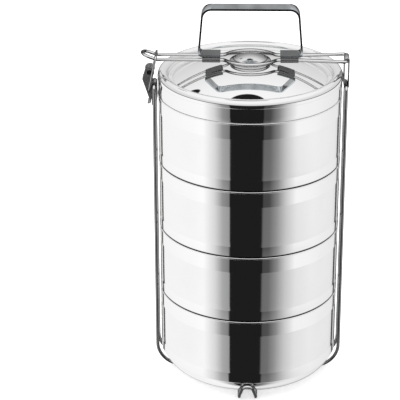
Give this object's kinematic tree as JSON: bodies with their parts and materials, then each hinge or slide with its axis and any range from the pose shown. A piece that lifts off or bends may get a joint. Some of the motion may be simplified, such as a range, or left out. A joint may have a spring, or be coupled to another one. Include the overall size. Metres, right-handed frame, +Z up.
{
  "type": "stacked food carrier",
  "caption": "Stack of nesting steel bowls with a domed lid, clamped in a bent-wire frame by a hinged top bar with a carrying handle and an over-centre latch.",
  "frame": {"origin": "on the floor, under the middle of the stack", "axes": "+Z up through the stack, hinge of the top bar towards +X, latch towards -X, front towards -Y"},
  "size_m": [0.1805, 0.166, 0.3455],
  "materials": {
    "bowl": "mirror polished stainless steel with a satin band round each bowl",
    "wire": "bright drawn stainless wire",
    "plate": "bright pressed steel sheet",
    "strap": "brushed stainless strip"
  },
  "bodies": {
    "frame": {"side_loop": "wire", "base_loop": "wire", "hinge_bracket": "plate", "latch_bracket": "plate", "latch_pin": "plate"},
    "bar": {"top_bar": "wire", "handle_strap": "strap", "handle_clip_left": "plate", "handle_clip_right": "plate"},
    "lever": {"latch_lever": "plate"},
    "bail": {"latch_bail": "wire"},
    "lid": {"lid": "bowl", "lid_knob": "bowl", "knob_rivet": "bowl"},
    "bowl_4": {"bowl_4": "bowl"},
    "bowl_3": {"bowl_3": "bowl"},
    "bowl_2": {"bowl_2": "bowl"},
    "bowl_1": {"bowl_1": "bowl"}
  },
  "joints": [
    {"name": "bar_swing", "type": "hinge", "parent": "frame", "child": "bar", "pos_m": [0.0833, 0, 0.2995], "axis": [0, 1, 0], "range_deg": [0, 200]},
    {"name": "lever_swing", "type": "hinge", "parent": "frame", "child": "lever", "pos_m": [-0.0874, 0, 0.2876], "axis": [0, 1, 0], "range_deg": [0, 80]},
    {"name": "bail_swing", "type": "hinge", "parent": "bar", "child": "bail", "pos_m": [-0.0815, 0, 0.3024], "axis": [0, 1, 0], "range_deg": [0, 42]},
    {"name": "lid_lift", "type": "slide", "parent": "frame", "child": "lid", "axis": [0, 0, 1], "range_m": [0, 0.045]},
    {"name": "bowl_4_lift", "type": "slide", "parent": "frame", "child": "bowl_4", "axis": [0, 0, 1], "range_m": [0, 0.035]},
    {"name": "bowl_3_lift", "type": "slide", "parent": "frame", "child": "bowl_3", "axis": [0, 0, 1], "range_m": [0, 0.027]},
    {"name": "bowl_2_lift", "type": "slide", "parent": "frame", "child": "bowl_2", "axis": [0, 0, 1], "range_m": [0, 0.018]},
    {"name": "bowl_1_lift", "type": "slide", "parent": "frame", "child": "bowl_1", "axis": [0, 0, 1], "range_m": [0, 0.01]}
  ],
  "couplings": [
    {"joint": "bail_swing", "follows": "lever_swing", "ratio": 0.51},
    {"joint": "lid_lift", "follows": "bar_swing", "m_per_rad": 0.012605},
    {"joint": "bowl_4_lift", "follows": "bar_swing", "m_per_rad": 0.00958},
    {"joint": "bowl_3_lift", "follows": "bar_swing", "m_per_rad": 0.007185},
    {"joint": "bowl_2_lift", "follows": "bar_swing", "m_per_rad": 0.00479},
    {"joint": "bowl_1_lift", "follows": "bar_swing", "m_per_rad": 0.002395}
  ]
}
